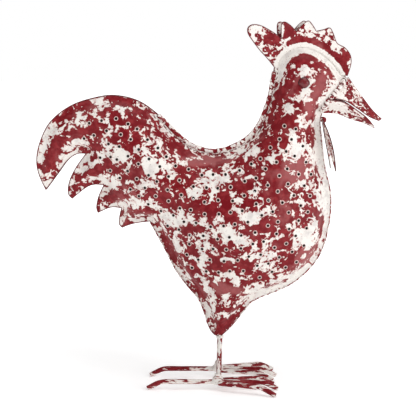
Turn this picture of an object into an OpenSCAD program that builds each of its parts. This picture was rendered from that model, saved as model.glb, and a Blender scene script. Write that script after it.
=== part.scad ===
// Tin rooster figure: two punched, formed half shells brazed edge to edge,
// with sheet comb, beak and wattles, standing on welded rod legs and toes.
// Frame: +X the way the bird faces, +Y its left side, +Z up.
// The origin is on the ground, under the middle of the bird's length.

/* [Bird] */
// Length from the rearmost tail feather to the tip of the beak
bird_length = 325; // [270:1:400]
// Height from the ground to the top of the comb
bird_height = 348; // [285:1:420]

/* [Body sheets] */
// Thickness of each body sheet, measured across the bird
wall = 1.2; // [0.8:0.1:2]
// Width of the flat flange along the seams
flange = 4; // [3:0.5:6]
// Width of the steep flank inside the flange
flank_width = 9; // [6:0.5:14]
// Height that the flank rises
flank_rise = 9; // [5:0.5:14]
// Slope of the dome inside the flank, rise over run
dome_slope = 0.65; // [0.3:0.05:0.9]
// Distance of each sheet from the middle plane at the end of the tail
tail_gap = 3; // [0:0.5:6]
// Spacing of the surface points that a sheet is formed over
form_step = 6.2; // [5:0.1:9]

/* [Punched holes] */
// Diameter of a punched hole
hole_d = 2.2; // [1:0.1:3]
// Distance of the first row of holes from the back's edge
first_row = 21.5; // [16:0.5:30]
// Distance between rows
row_pitch = 11.3; // [9:0.1:18]
// Distance between holes along a row
hole_pitch = 12; // [9:0.5:20]
// Least distance from a hole to the edge of the sheet
hole_margin = 15; // [12:0.5:22]

/* [Comb, beak, eyes and wattles] */
// Thickness of the comb, beak and wattle sheets
trim_wall = 0.8; // [0.5:0.1:1.5]
// Diameter of an eye rivet's head
eye_d = 10; // [7:0.5:14]
// Height of an eye rivet's head
eye_rise = 3; // [2:0.5:5]
// Diameter of an eye rivet's shank
shank_d = 4; // [2.5:0.5:5]
// Length of a wattle
wattle_length = 51; // [35:1:60]
// Width of a wattle
wattle_width = 13; // [8:1:18]
// Flange left bare inside the comb's lap and the back seam's lip
bare_flange = 0.6; // [0.3:0.1:1.5]
// Radius of the braze bead round the root of the beak
bead_r = 1.2; // [0.8:0.1:2]

/* [Legs and toes] */
// Diameter of the leg rods
leg_d = 5; // [4:0.1:7]
// Diameter of the toe rods
toe_d = 4.8; // [3.5:0.1:6]
// Distance between the two feet, across the bird
foot_spacing = 44; // [34:1:60]
// Height of the toe rods' centres above the ground
toe_height = 8; // [6:0.5:12]
// Reach of the front toes ahead of the ankle
front_reach = 56; // [40:1:70]
// Reach of the back toe behind the ankle
back_reach = 68; // [50:1:80]
// Length of the bent tips, along the ground
tip_run = 13; // [9:0.5:18]
// Angle that an outer toe turns out
outer_fan = 18; // [10:1:30]
// Angle that an inner toe turns in
inner_fan = 13; // [6:1:16]
// Height of the cross strap above the bottom of the body
strap_height = 44; // [30:1:60]

/* [Hidden] */

// Side drawing of the bird, as [x, z] points on smooth curves, for a bird 325 long and 348 high.
// The ground lies 5 under the drawing's zero.
drawn_length = 325;
drawn_height = 348;
drawn_ground = -5;
size = [bird_length / drawn_length, bird_height / drawn_height];
function fit(line) = [for (p = line) [p.x * size.x, (p.y - drawn_ground) * size.y]];
function drawn(p) = [p.x / size.x, p.y / size.y + drawn_ground];
back_line = fit([[-154, 184], [-160.5, 199], [-162.5, 213], [-159, 230], [-149, 249], [-130, 264],
    [-108, 271.5], [-88, 274], [-66, 269], [-47, 256], [-30, 239], [-14, 227], [6, 222.5], [24, 227.5],
    [40, 238], [50, 254], [57, 277], [61, 300]]);
head_top = fit([[61, 300], [65.5, 311], [76, 319.5], [89.5, 322], [104, 317], [117, 307], [126.5, 294.5]]);
nose = fit([[126.5, 294.5], [129, 286.5], [128, 277.5], [123.5, 267.5], [116, 260.5], [107, 258]]);
breast = fit([[107, 258], [105, 248], [107, 228], [110, 206], [115, 185], [116, 168], [114, 149], [109, 129],
    [100, 113], [84, 97], [66, 87], [52, 81.5], [41, 76]]);
tip_front = fit([[41, 76], [30, 62], [20, 50], [12, 43.5]]);
rump = fit([[12, 43.5], [5, 44.5], [0, 51.5], [-4, 65], [-10, 79], [-22, 93.5], [-32, 108], [-41, 126],
    [-50, 143], [-56, 154]]);
feathers = [
    fit([[-56, 154], [-68, 152.5], [-76, 150.5], [-82, 148]]),
    fit([[-82, 148], [-85, 151], [-85, 158], [-83, 167]]),
    fit([[-83, 167], [-93, 167.5], [-105, 162.5]]),
    fit([[-105, 162.5], [-106.5, 168], [-104.5, 178], [-99.5, 189]]),
    fit([[-99.5, 189], [-108, 189.5], [-116, 186.5], [-129, 176]]),
    fit([[-129, 176], [-133, 181], [-132, 192], [-126, 205], [-116, 219]]),
    fit([[-116, 219], [-124, 218.5], [-133, 212], [-142, 200], [-154, 184]])];
rear_lobe = fit([[61, 300], [54.5, 308], [47.5, 315.5], [41, 324], [36.5, 331], [36.5, 336.5], [41, 339.5],
    [49, 338.5], [58.5, 333.5], [64.5, 329.5]]);
second_lobe = fit([[67.5, 326.5], [67, 339], [70.5, 342], [76.5, 338.5], [81.5, 333]]);
third_lobe = fit([[81.5, 333], [86, 338.5], [92, 343], [96.5, 339], [100, 333.5]]);
front_lobes = fit([[100, 333.5], [107, 335], [112.5, 336.5], [116, 331], [119.5, 322.5], [126.5, 318.5],
    [131.5, 312.5], [133, 306], [132, 299.5], [129.5, 292]]);
upper_ridge = fit([[130.3, 291], [137, 282], [146, 270], [154, 260], [162.5, 252]]);
upper_lip = fit([[118, 270.5], [130, 268.5], [140, 262], [150, 255], [160.5, 250.5]]);
lower_ridge = fit([[107.3, 256.4], [120, 256.5], [133, 251.5], [145, 248], [155.5, 243]]);
lower_lip = fit([[117.5, 269.5], [130, 266], [140, 259.5], [148, 252], [155, 244.8]]);
eye = fit([[88, 286.5]])[0];
throat = fit([[108, 252]])[0];
leg_x = fit([[11, 0]])[0].x;
seam_start = fit([[-58, 0]])[0].x;
tail_level = fit([[-119, 0]])[0].x;
head_level = fit([[0, 257]])[0].y;
tip_level = fit([[0, 104]])[0].y;

// Where the thin nose inside the beak steepens: its edge counts this much in the forming distance.
nose_share = 0.25;
steps = 3;
fit_gap = 0.05;
lap_gap = 0.5; // under the bill's root, where a flat-sided sheet laps on the domed head
round_fn = 40;

// Smooth curve through a, b, c, d, between b and c.
function spline(a, b, c, d, t) =
    0.5 * (2 * b + (c - a) * t + (2 * a - 5 * b + 4 * c - d) * t * t + (3 * b - a - 3 * c + d) * t * t * t);
function span(line, k, t) =
    spline(line[max(k - 1, 0)], line[k], line[k + 1], line[min(k + 2, len(line) - 1)], t);
function run(line, n = steps) = [for (k = [0 : len(line) - 2]) for (i = [0 : n - 1]) span(line, k, i / n)];
function at(line, u) = let (s = u * (len(line) - 1), k = min(floor(s), len(line) - 2)) span(line, k, s - k);
function reverse(line) = [for (i = [1 : len(line)]) line[len(line) - i]];
// A line moved sideways, to the right of the way it runs.
function beside(line, gap) = [for (i = [0 : len(line) - 1])
    let (t = line[min(i + 1, len(line) - 1)] - line[max(i - 1, 0)]) line[i] + [t.y, -t.x] / norm(t) * gap];
function strip(line, near, far) = concat(beside(line, near), reverse(beside(line, far)));

// The sheet's edge as [x, z, share], where share is how much a point holds the sheet down.
parts_of_edge = concat([for (line = [back_line, head_top]) [line, 1]], [[nose, nose_share]],
    [for (line = concat([breast, tip_front, rump], feathers)) [line, 1]]);
marked_edge = [for (part = parts_of_edge) each [for (p = run(part[0])) [p.x, p.y, part[1]]]];
edge = [for (m = marked_edge) [m.x, m.y]];
count = len(edge);
reach = [for (i = [0 : count - 1]) norm(edge[(i + 1) % count] - edge[i])];
weight = [for (i = [0 : count - 1]) marked_edge[i].z * (reach[i] + reach[(i + count - 1) % count]) / 2];

function sum(v) = v * [for (i = v) 1];
function ease(t) = let (c = max(0, min(1, t))) c * c * (3 - 2 * c);
function nearest(p, line) = min([for (q = line) norm(p - q)]);
function inside(p) = sum([for (i = [0 : count - 1]) let (a = edge[i], b = edge[(i + 1) % count])
    ((a.y > p.y) != (b.y > p.y)) && p.x < a.x + (p.y - a.y) / (b.y - a.y) * (b.x - a.x) ? 1 : 0]) % 2 == 1;
// Distance to the edge, rounded off where the edge turns: exact beside a long straight edge.
function forming_distance(p) =
    pow(2 / PI * sum([for (i = [0 : count - 1]) weight[i] / pow(max(0.5, norm(p - edge[i])), 4)]), -1 / 3);
function gap_at(x) = tail_gap * ease((seam_start - x) / 70);
function slim(p) = let (q = drawn(p))
    (0.42 + 0.58 * ease((q.x + 150) / 110)) * (1 - 0.15 * ease((q.y - 235) / 40));
// Height of a sheet's outer face over the middle plane.
function rise(p) = let (d = forming_distance(p))
    let (flank = flank_rise * ease((d - flange) / flank_width))
        wall + gap_at(p.x) + slim(p) * (flank + dome_slope * max(0, d - flange));

grid_start = fit([[-168, 40]])[0];
grid_end = fit([[136, 330]])[0];
nx = ceil((grid_end.x - grid_start.x) / form_step);
nz = ceil((grid_end.y - grid_start.y) / form_step);
function grid_point(i, j) = grid_start + [i, j] * form_step;

// Height of the sheet's outer face as it is formed over those points: flat facets, and a flat flange.
function facet(a, b, c, d, u, v) = abs(a - c) < abs(b - d)
    ? (u > v ? a + (b - a) * u + (c - b) * v : a + (c - d) * u + (d - a) * v)
    : (u + v < 1 ? a + (b - a) * u + (d - a) * v : c + (d - c) * (1 - u) + (b - c) * (1 - v));
function point_rise(i, j) = let (p = grid_point(i, j)) inside(p) ? rise(p) : wall + gap_at(p.x);
function formed(p) = let (g = (p - grid_start) / form_step, i = floor(g.x), j = floor(g.y))
    nearest(p, edge) < flange ? wall
        : facet(point_rise(i, j), point_rise(i + 1, j), point_rise(i + 1, j + 1), point_rise(i, j + 1),
            g.x - i, g.y - j);

// Rows of punched holes beside the back, set half a pitch apart in turn and a little uneven, as by hand.
back_curve = run(back_line, 6);
function lengths(line) = [for (i = 0, s = 0; i < len(line);
    s = s + (i + 1 < len(line) ? norm(line[i + 1] - line[i]) : 0), i = i + 1) s];
function at_length(line, ls, s) =
    let (k = min(len(line) - 2, max([for (i = [0 : len(line) - 1]) ls[i] <= s ? i : 0])))
    line[k] + (line[k + 1] - line[k]) * (s - ls[k]) / max(0.001, ls[k + 1] - ls[k]);
unevenness = 1.1;
function row(k) = let (gap = first_row + k * row_pitch, line = beside(back_curve, gap), ls = lengths(line))
    [for (i = [0 : floor(ls[len(ls) - 1] / hole_pitch) - 1])
        let (p = at_length(line, ls, (i + 0.5 * (k % 2)) * hole_pitch),
            q = p + unevenness * [sin(97 * i + 211 * k), sin(151 * i + 67 * k)])
        if (nearest(p, back_curve) > gap - 0.6 && inside(q) && nearest(q, edge) > hole_margin
            && q.x > tail_level && q.y < head_level && q.y > tip_level) q];
row_count = 15;
holes = [for (k = [0 : row_count - 1]) each row(k)];

// Leg and foot places.
bottom_z = min([for (p = edge) p.y]);
strap_z = bottom_z + strap_height;
strap_thickness = 3;
strap_width = 10;
leg_y = leg_d / 2 + fit_gap;
foot_y = foot_spacing / 2;
knee = [leg_x, -leg_y, bottom_z + 1.5];
ankle = [leg_x - 1, -foot_y, toe_height + toe_d / 2];
toe_pitch = toe_d + fit_gap;

module stand() { rotate([90, 0, 0]) children(); }
module other_side() { mirror([0, 1, 0]) children(); }

// A solid between two grids of points: rows of equal length, the outer face and the inner face.
module skin(outer, inner) {
    rows = len(outer);
    cols = len(outer[0]);
    n = rows * cols;
    function id(r, c) = r * cols + c;
    faces = [
        for (r = [0 : rows - 2]) for (c = [0 : cols - 2])
            each [[id(r, c), id(r, c + 1), id(r + 1, c + 1)], [id(r, c), id(r + 1, c + 1), id(r + 1, c)],
                [n + id(r, c), n + id(r + 1, c + 1), n + id(r, c + 1)],
                [n + id(r, c), n + id(r + 1, c), n + id(r + 1, c + 1)]],
        for (c = [0 : cols - 2])
            each [[id(0, c), n + id(0, c), n + id(0, c + 1)],
                [id(0, c), n + id(0, c + 1), id(0, c + 1)],
                [id(rows - 1, c + 1), n + id(rows - 1, c + 1), n + id(rows - 1, c)],
                [id(rows - 1, c + 1), n + id(rows - 1, c), id(rows - 1, c)]],
        for (r = [0 : rows - 2])
            each [[id(r + 1, 0), n + id(r + 1, 0), n + id(r, 0)],
                [id(r + 1, 0), n + id(r, 0), id(r, 0)],
                [id(r, cols - 1), n + id(r, cols - 1), n + id(r + 1, cols - 1)],
                [id(r, cols - 1), n + id(r + 1, cols - 1), id(r + 1, cols - 1)]]];
    polyhedron([for (row = outer) each row, for (row = inner) each row], faces);
}

// A bead or wire of round section along a path that never runs straight across the bird.
bead_lump = 0.18;
module bead(path, radius, sides = 8) {
    rings = [for (i = [0 : len(path) - 1])
        let (t = path[min(i + 1, len(path) - 1)] - path[max(i - 1, 0)],
            a = cross(t, [0, 1, 0]) / norm(cross(t, [0, 1, 0])),
            b = cross(a, t) / norm(t),
            r = radius * (1 + bead_lump * sin(137 * i)))
        [for (k = [0 : sides - 1]) path[i] + r * (a * cos(360 * k / sides) + b * sin(360 * k / sides))]];
    last = len(rings) - 1;
    faces = [for (i = [0 : last - 1]) for (k = [0 : sides - 1])
        let (a = i * sides + k, b = i * sides + (k + 1) % sides)
            each [[a, a + sides, b + sides], [a, b + sides, b]],
        [for (k = [0 : sides - 1]) k],
        [for (k = [0 : sides - 1]) last * sides + sides - 1 - k]];
    polyhedron([for (ring = rings) each ring], faces);
}

// A straight round rod from a to b, ending in a ball where it bends into another rod at b.
bend_swell = 0.06;
module rod(a, b, d, ball = false) {
    v = b - a;
    translate(a) rotate([0, acos(v.z / norm(v)), atan2(v.y, v.x)]) {
        cylinder(h = norm(v), d = d, $fn = round_fn);
        if (ball) translate([0, 0, norm(v)]) sphere(d = d + bend_swell, $fn = round_fn);
    }
}

// The domed sheet, lying on the middle plane with its outer face up.
module dome() {
    tops = [for (j = [0 : nz]) for (i = [0 : nx]) [grid_point(i, j).x, grid_point(i, j).y, point_rise(i, j)]];
    lows = [for (t = tops) t - [0, 0, wall]];
    n = len(tops);
    used = [for (j = [-1 : nz]) [for (i = [-1 : nx]) let (c = grid_point(i + 0.5, j + 0.5))
        i >= 0 && j >= 0 && i < nx && j < nz && (inside(c) || nearest(c, edge) < form_step)]];
    faces = [for (j = [0 : nz - 1]) for (i = [0 : nx - 1]) if (used[j + 1][i + 1])
        let (a = j * (nx + 1) + i, b = a + 1, c = a + nx + 2, d = a + nx + 1,
            walls = [if (!used[j][i + 1]) [a, b], if (!used[j + 2][i + 1]) [c, d],
                if (!used[j + 1][i]) [d, a], if (!used[j + 1][i + 2]) [b, c]],
            // Each square folds along its more level diagonal, which keeps the flank smooth.
            halves = abs(tops[a].z - tops[c].z) < abs(tops[b].z - tops[d].z)
                ? [[a, c, b], [a, d, c]] : [[a, d, b], [b, d, c]])
        each concat(halves, [for (h = halves) [n + h[0], n + h[2], n + h[1]]],
            [for (w = walls) [w[0], w[1], n + w[1]]], [for (w = walls) [w[0], n + w[1], n + w[0]]])];
    polyhedron(concat(tops, lows), faces);
}

// Beyond the flange, and over the whole tail, the sheet follows the dome.
module dome_area(lap = 0) {
    offset(delta = lap - flange) polygon(edge);
    intersection() {
        polygon(edge);
        translate([seam_start - bird_length, 0]) square([bird_length + lap, bird_height]);
    }
}

module sheet_half() {
    linear_extrude(wall) difference() {
        polygon(edge);
        dome_area();
    }
    intersection() {
        dome();
        translate([0, 0, -1]) linear_extrude(bird_length / 2) dome_area(0.4);
    }
}

module body_shell() {
    difference() {
        stand() difference() {
            sheet_half();
            for (h = holes) translate([h.x, h.y, -1]) cylinder(h = bird_length / 2, d = hole_d, $fn = 16);
            translate([eye.x, eye.y, -1])
                cylinder(h = bird_length / 2, d = shank_d + 2 * fit_gap, $fn = round_fn);
        }
        leg_passage();
    }
}

// Room for the two leg rods through the closed bottom of the body, opened between them into one slot.
module leg_passage() {
    slot_w = leg_d / 2;
    for (side = [-1, 1]) translate([leg_x, side * leg_y, bottom_z - 1])
        cylinder(h = strap_height, d = leg_d + 2 * fit_gap, $fn = round_fn);
    translate([leg_x - slot_w / 2, -leg_y, bottom_z - 1]) cube([slot_w, 2 * leg_y, strap_height]);
}

// Braze over the edges of both sheets, with a lip on each flange.
module seam_braze(line, crown, lip, thick) {
    stand() {
        translate([0, 0, -wall - thick]) linear_extrude(2 * (wall + thick))
            polygon(strip(line, -crown, -fit_gap));
        for (z = [-wall - thick, wall]) translate([0, 0, z]) linear_extrude(thick)
            polygon(strip(line, -crown, lip));
    }
}
seam_back = [for (p = run(back_line)) if (p.x > fit([[-48, 0]])[0].x && p.y < fit([[0, 298]])[0].y) p];
seam_breast = concat([for (p = run(breast)) if (p.y < fit([[0, 246]])[0].y) p], run(tip_front));
seam_rump = [for (p = run(rump)) if (p.y > fit([[0, 54]])[0].y) p];

module comb_sheet(shift) {
    middle = [for (p = concat(run(second_lobe), run(third_lobe))) p - [shift, 0]];
    lobes = concat(run(rear_lobe), middle, run(front_lobes));
    stand() translate([0, 0, wall]) linear_extrude(trim_wall)
        polygon(concat(lobes, reverse(beside(run(head_top), flange - bare_flange))));
}

// One half of the bill: a sheet folded along its ridge, its root lapped on the head.
module bill(ridge, lip) {
    rows = 12;
    cols = 12;
    tip_half = 0.9;
    function place(u, s) = at(ridge, u) + (at(lip, u) - at(ridge, u)) * s;
    function half_width(u, s) = let (root = formed(place(0, s)) + lap_gap + trim_wall)
        root + (trim_wall + tip_half * s - root) * pow(u, 1.4);
    function down(u) = (at(lip, u) - at(ridge, u)) / norm(at(lip, u) - at(ridge, u));
    function outer_point(u, v) = let (s = abs(v), p = place(u, s)) [p.x, sign(v) * half_width(u, s), p.y];
    function inner_point(u, v) = let (s = abs(v), p = place(u, s) + down(u) * trim_wall * (1 - s))
        [p.x, sign(v) * max(half_width(u, s) - trim_wall, 0.15 * s), p.y];
    skin([for (r = [0 : rows]) [for (c = [0 : cols]) outer_point(r / rows, 2 * c / cols - 1)]],
        [for (r = [0 : rows]) [for (c = [0 : cols]) inner_point(r / rows, 2 * c / cols - 1)]]);
}

// Height at which a ball of radius r, over p, rests on the formed sheet.
function rest(p, r) = max([for (s = [0, 0.4, 0.7, 0.9, 1]) for (a = [0 : 45 : 315])
    formed(p + s * r * [cos(a), sin(a)]) + r * sqrt(1 - s * s)]);
module beak_braze() {
    root = [upper_ridge[0], upper_lip[0], lower_ridge[0]];
    bead([for (i = [1 : 22]) let (p = at(root, i / 23) - [bead_r + 0.3, 0])
        [p.x, -rest(p, bead_r * (1 + bead_lump)) - fit_gap, p.y]], bead_r);
}

// Domed head outside, shank through the sheet and a closed tail inside.
module eye_rivet() {
    around = [for (a = [0 : 45 : 315]) [cos(a), sin(a)]];
    seat = max([for (q = around) rise(eye + q * eye_d / 2)]) + fit_gap;
    back = min([for (q = around) rise(eye + q * shank_d * 0.8)]) - wall - fit_gap;
    ball = (eye_d * eye_d / 4 + eye_rise * eye_rise) / (2 * eye_rise);
    stand() translate([eye.x, eye.y, 0]) {
        translate([0, 0, seat]) intersection() {
            translate([0, 0, eye_rise - ball]) sphere(r = ball, $fn = round_fn);
            cylinder(h = eye_rise, d = eye_d, $fn = round_fn);
        }
        translate([0, 0, back - 1]) cylinder(h = seat - back + 1.5, d = shank_d, $fn = round_fn);
        translate([0, 0, back - 1.2]) cylinder(h = 1.2, d = shank_d * 1.6, $fn = round_fn);
    }
}

// A slender leaf of sheet, hung from the throat and turned nearly edge on to the side.
wattle_lean = 14;
wattle_turn = 66;
wattle_splay = 12;
module wattle() {
    half = wattle_length / 2;
    rim = (half * half + wattle_width * wattle_width / 4) / wattle_width;
    translate([throat.x, -wall - 1.2, throat.y]) rotate([-wattle_splay, -wattle_lean, 0])
        rotate([90, 0, wattle_turn]) translate([0, -half, -trim_wall / 2]) linear_extrude(trim_wall)
            intersection_for (side = [-1, 1])
                translate([side * (rim - wattle_width / 2), 0]) circle(r = rim, $fn = 96);
}

module throat_blob() {
    difference() {
        translate([throat.x + 0.5, 0, throat.y - 1]) sphere(r = 3.4, $fn = round_fn);
        stand() translate([0, 0, -wall - fit_gap]) linear_extrude(2 * (wall + fit_gap)) polygon(edge);
        wattle();
        other_side() wattle();
    }
}

module cross_strap() {
    reach = rise([leg_x, strap_z]) - wall - 2;
    translate([leg_x - strap_width / 2, -reach, strap_z]) cube([strap_width, 2 * reach, strap_thickness]);
}

// A leg rod: upright inside the body, bent at the bottom seam, then out to the ankle.
module leg() {
    rod([leg_x, -leg_y, strap_z], knee, leg_d, ball = true);
    intersection() {
        rod(knee, ankle + 0.1 * (ankle - knee), leg_d);
        translate([-100, -100, ankle.z]) cube([200, 200, bird_height]);
    }
}

module hip_bead() {
    difference() {
        intersection() {
            translate([leg_x, 0, bottom_z - 0.6]) scale([0.72, 1.5, 0.62]) sphere(r = 4.8, $fn = round_fn);
            translate([leg_x - 10, -20, bottom_z - 8]) cube([20, 40, 8 - fit_gap]);
        }
        leg();
        other_side() leg();
    }
}

// A toe rod that leaves the ankle at an angle. Its tip is bent down, cut square and ground flat.
module toe(side_step, angle, reach, start) {
    bend = [reach - tip_run, 0, toe_height];
    tip = [reach, 0, toe_d / 4];
    translate([ankle.x, ankle.y + side_step, 0]) rotate([0, 0, angle]) difference() {
        union() {
            rod([start, 0, toe_height], bend, toe_d, ball = true);
            rod(bend, tip, toe_d);
        }
        translate([0, -toe_d, -toe_d]) cube([2 * reach, 2 * toe_d, toe_d]);
    }
}
module outer_toe() { toe(-toe_pitch, -outer_fan, front_reach, 1); }
module middle_toe() { toe(0, 0, front_reach, fit_gap); }
module inner_toe() { toe(toe_pitch, inner_fan, front_reach - 2, 1); }
module back_toe() { toe(0, 180, back_reach, fit_gap); }

module ankle_weld() {
    difference() {
        translate([ankle.x - 1, ankle.y, toe_height])
            cylinder(h = 8, r1 = 7.2, r2 = leg_d / 2 + 0.6, $fn = round_fn);
        leg();
        outer_toe();
        middle_toe();
        inner_toe();
        back_toe();
    }
}

module right_body_shell() { color("firebrick") body_shell(); }
module left_body_shell() { color("firebrick") other_side() body_shell(); }
module back_seam_braze() { color("rosybrown") seam_braze(seam_back, 1.3, flange - bare_flange, 0.9); }
module breast_seam_braze() { color("whitesmoke") seam_braze(seam_breast, 0.6, 1, 0.4); }
module rump_seam_braze() { color("whitesmoke") seam_braze(seam_rump, 0.6, 1, 0.4); }
module right_comb_sheet() { color("brown") comb_sheet(0); }
module left_comb_sheet() { color("brown") other_side() comb_sheet(fit([[3.5, 0]])[0].x); }
module upper_beak() { color("mistyrose") bill(upper_ridge, upper_lip); }
module lower_beak() { color("mistyrose") mirror([0, 1, 0]) bill(lower_ridge, lower_lip); }
module right_beak_braze() { color("rosybrown") beak_braze(); }
module left_beak_braze() { color("rosybrown") other_side() beak_braze(); }
module right_eye_rivet() { color("darkred") eye_rivet(); }
module left_eye_rivet() { color("darkred") other_side() eye_rivet(); }
module right_wattle() { color("mistyrose") wattle(); }
module left_wattle() { color("mistyrose") other_side() wattle(); }
module throat_braze() { color("rosybrown") throat_blob(); }
module leg_cross_strap() { color("silver") cross_strap(); }
module hip_braze() { color("whitesmoke") hip_bead(); }
module right_leg() { color("whitesmoke") leg(); }
module left_leg() { color("whitesmoke") other_side() leg(); }
module right_ankle_weld() { color("whitesmoke") ankle_weld(); }
module left_ankle_weld() { color("whitesmoke") other_side() ankle_weld(); }
module right_outer_toe() { color("brown") outer_toe(); }
module right_middle_toe() { color("whitesmoke") middle_toe(); }
module right_inner_toe() { color("brown") inner_toe(); }
module right_back_toe() { color("whitesmoke") back_toe(); }
module left_outer_toe() { color("brown") other_side() outer_toe(); }
module left_middle_toe() { color("whitesmoke") other_side() middle_toe(); }
module left_inner_toe() { color("brown") other_side() inner_toe(); }
module left_back_toe() { color("whitesmoke") other_side() back_toe(); }

right_body_shell();
left_body_shell();
back_seam_braze();
breast_seam_braze();
rump_seam_braze();
right_comb_sheet();
left_comb_sheet();
upper_beak();
lower_beak();
right_beak_braze();
left_beak_braze();
right_eye_rivet();
left_eye_rivet();
right_wattle();
left_wattle();
throat_braze();
leg_cross_strap();
hip_braze();
right_leg();
left_leg();
right_ankle_weld();
left_ankle_weld();
right_outer_toe();
right_middle_toe();
right_inner_toe();
right_back_toe();
left_outer_toe();
left_middle_toe();
left_inner_toe();
left_back_toe();
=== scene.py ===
# %% [markdown]
# # A punched sheet-metal rooster
# This figure is two thin sheet halves, formed over a mould, punched in rows, and brazed edge to edge.
# A comb, a bill and wattles of flat sheet are brazed on, and it stands on bent and welded rods.
# The red paint has been rubbed through to a white ground coat, as on a distressed garden ornament.
# The frame, model.glb, holds the design's fixed solids. Each visible piece below is made again, finer,
# in the same place, and hides the solid it stands for.

# %% Load the fixed frame
import math
import bpy
import numpy as np
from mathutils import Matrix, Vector
from mathutils.geometry import delaunay_2d_cdt


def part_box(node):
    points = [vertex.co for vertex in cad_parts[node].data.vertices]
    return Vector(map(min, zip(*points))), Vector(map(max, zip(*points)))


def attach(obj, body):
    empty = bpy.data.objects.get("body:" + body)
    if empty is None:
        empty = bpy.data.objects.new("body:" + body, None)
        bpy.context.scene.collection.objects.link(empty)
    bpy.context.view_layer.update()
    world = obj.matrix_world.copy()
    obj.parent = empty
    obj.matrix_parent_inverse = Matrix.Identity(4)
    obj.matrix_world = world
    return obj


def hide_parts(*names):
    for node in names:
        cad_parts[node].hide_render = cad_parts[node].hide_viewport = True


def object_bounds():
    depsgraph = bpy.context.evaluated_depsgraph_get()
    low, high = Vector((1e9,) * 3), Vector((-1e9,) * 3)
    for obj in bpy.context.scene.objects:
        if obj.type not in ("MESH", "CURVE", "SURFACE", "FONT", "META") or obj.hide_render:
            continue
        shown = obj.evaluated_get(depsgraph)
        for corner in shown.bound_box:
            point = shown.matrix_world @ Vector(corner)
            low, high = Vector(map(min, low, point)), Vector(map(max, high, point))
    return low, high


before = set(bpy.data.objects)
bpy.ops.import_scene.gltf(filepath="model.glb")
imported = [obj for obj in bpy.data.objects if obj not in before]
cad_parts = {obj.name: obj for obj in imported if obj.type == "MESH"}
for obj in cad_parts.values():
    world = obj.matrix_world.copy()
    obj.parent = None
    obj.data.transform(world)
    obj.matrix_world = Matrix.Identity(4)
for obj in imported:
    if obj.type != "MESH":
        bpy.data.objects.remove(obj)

cad_low, cad_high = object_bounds()
print("nodes in the frame:", len(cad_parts))

# %% [markdown]
# ## Units and the driving sizes
# All shape work below is in millimetres, because a maker thinks in millimetres, and one function
# turns a finished array into a mesh in metres. The side drawing is for a bird 325 long and 348 high
# whose ground lies 5 under the drawing's zero, so it is moved up and stretched to the frame's own box.

# %% Sizes taken from the frame
MM = 0.001
DRAWN = np.array([325.0, 348.0])
GROUND = np.array([0.0, -5.0])
BOX = np.array([cad_high.x - cad_low.x, cad_high.z - cad_low.z]) / MM
STRETCH = BOX / DRAWN


def node_box(name):
    """Lowest and highest corner of a fixed solid, in millimetres."""
    low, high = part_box(name)
    return np.array(low) / MM, np.array(high) / MM


# These repeat the design's own sizes, apart from SHEET, the thickness that the visible halves are given.
SHEET = 0.9
WALL = 1.2
FLANGE = 4.0
FLANK_WIDTH = 9.0
FLANK_RISE = 9.0
DOME_SLOPE = 0.65
TAIL_GAP = 3.0
HOLE_R = 1.1
print("bird:", BOX.round(1), "mm long and high")

# %% [markdown]
# ## Curves
# Every outline is a short list of points with a smooth curve through them. A Catmull-Rom curve passes
# through its points, so the list can be read as the drawing itself.


# %% Curves through points
def fit(points):
    """Side-drawing points [x, z], stretched to the frame's box."""
    return (np.array(points, float) - GROUND) * STRETCH


def drawn(points):
    """Places on the bird, back on the side drawing."""
    return points / STRETCH + GROUND


def smooth(points, n, closed_end=False):
    """Catmull-Rom: between b and c, 0.5 (2b + (c-a) t + (2a-5b+4c-d) t^2 + (3b-a-3c+d) t^3)."""
    p = np.vstack([points[:1], points, points[-1:]])
    t = (np.arange(n) / n)[None, :, None]
    a, b, c, d = (p[i : len(points) - 1 + i, None] for i in range(4))
    q = 0.5 * (2 * b + (c - a) * t + (2 * a - 5 * b + 4 * c - d) * t**2 + (3 * b - a - 3 * c + d) * t**3)
    q = q.reshape(-1, points.shape[1])
    return np.vstack([q, points[-1:]]) if closed_end else q


def along(points, u):
    """The same curve, read at shares u of its length in points."""
    p = np.vstack([points[:1], points, points[-1:]])
    s = np.clip(np.asarray(u, float) * (len(points) - 1), 0, len(points) - 1)
    k = np.minimum(np.floor(s).astype(int), len(points) - 2)
    t = (s - k)[..., None]
    a, b, c, d = (p[k + i] for i in range(4))
    return 0.5 * (2 * b + (c - a) * t + (2 * a - 5 * b + 4 * c - d) * t**2 + (3 * b - a - 3 * c + d) * t**3)


def sideways(line, gap):
    """A line moved to the right of the way it runs: each point plus its turned tangent times the gap."""
    t = np.gradient(line, axis=0)
    n = np.stack([t[:, 1], -t[:, 0]], 1) / np.linalg.norm(t, axis=1)[:, None]
    return line + n * gap


def lengths(line):
    """Distance along a line at each of its points."""
    return np.concatenate([[0], np.cumsum(np.linalg.norm(np.diff(line, axis=0), axis=1))])


def ease(t):
    """Smooth step: 3 t^2 - 2 t^3 between 0 and 1."""
    c = np.clip(t, 0, 1)
    return c * c * (3 - 2 * c)


# %% [markdown]
# ## The side drawing
# The body's edge runs from the tip of the tail over the back, the head, the breast and the rump, and
# back along four hooked tail feathers.

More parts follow.
